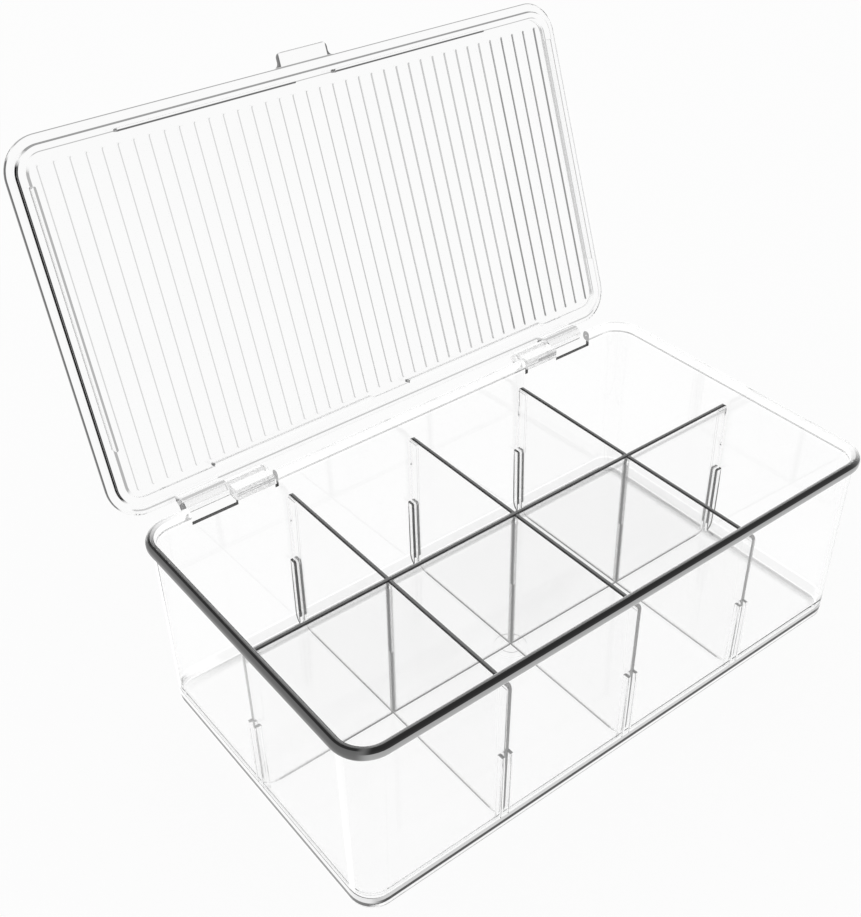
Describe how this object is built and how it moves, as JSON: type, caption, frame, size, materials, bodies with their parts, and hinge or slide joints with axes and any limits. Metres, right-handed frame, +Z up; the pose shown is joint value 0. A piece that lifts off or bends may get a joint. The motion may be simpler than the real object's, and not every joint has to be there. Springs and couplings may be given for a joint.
{
  "type": "compartment storage box",
  "caption": "Clear hinged storage box with a fluted lid and interlocking lift-out dividers that part the bin into compartments.",
  "frame": {"origin": "centre of the bin's flat underside", "axes": "+X along the long side, +Y towards the hinges, +Z up"},
  "size_m": [0.2944, 0.2356, 0.2543],
  "materials": {
    "bin_plastic": "clear, polished",
    "lid_plastic": "clear, polished",
    "pin_plastic": "clear, polished",
    "divider_plastic": "clear, polished"
  },
  "bodies": {
    "bin": {"bin": "bin_plastic", "hinge_pin_left": "pin_plastic", "hinge_pin_right": "pin_plastic"},
    "lid": {"lid": "lid_plastic"},
    "cross_divider_left": {"cross_divider_left": "divider_plastic"},
    "cross_divider_middle": {"cross_divider_middle": "divider_plastic"},
    "cross_divider_right": {"cross_divider_right": "divider_plastic"},
    "lengthwise_divider": {"lengthwise_divider": "divider_plastic"}
  },
  "joints": [
    {"name": "lid_hinge", "type": "hinge", "parent": "bin", "child": "lid", "pos_m": [0, 0.087, 0.0904], "axis": [-1, 0, 0], "range_deg": [-109.7, 0]},
    {"name": "cross_middle_lift", "type": "slide", "parent": "bin", "child": "cross_divider_middle", "axis": [0, 0, 1], "range_m": [0, 0.004]},
    {"name": "cross_left_lift", "type": "slide", "parent": "bin", "child": "cross_divider_left", "axis": [0, 0, 1], "range_m": [0, 0.004]},
    {"name": "cross_right_lift", "type": "slide", "parent": "bin", "child": "cross_divider_right", "axis": [0, 0, 1], "range_m": [0, 0.004]},
    {"name": "lengthwise_lift", "type": "slide", "parent": "cross_divider_middle", "child": "lengthwise_divider", "axis": [0, 0, 1], "range_m": [0, 0.004]}
  ],
  "couplings": [
    {"joint": "cross_left_lift", "follows": "cross_middle_lift", "ratio": 1},
    {"joint": "cross_right_lift", "follows": "cross_middle_lift", "ratio": 1}
  ]
}
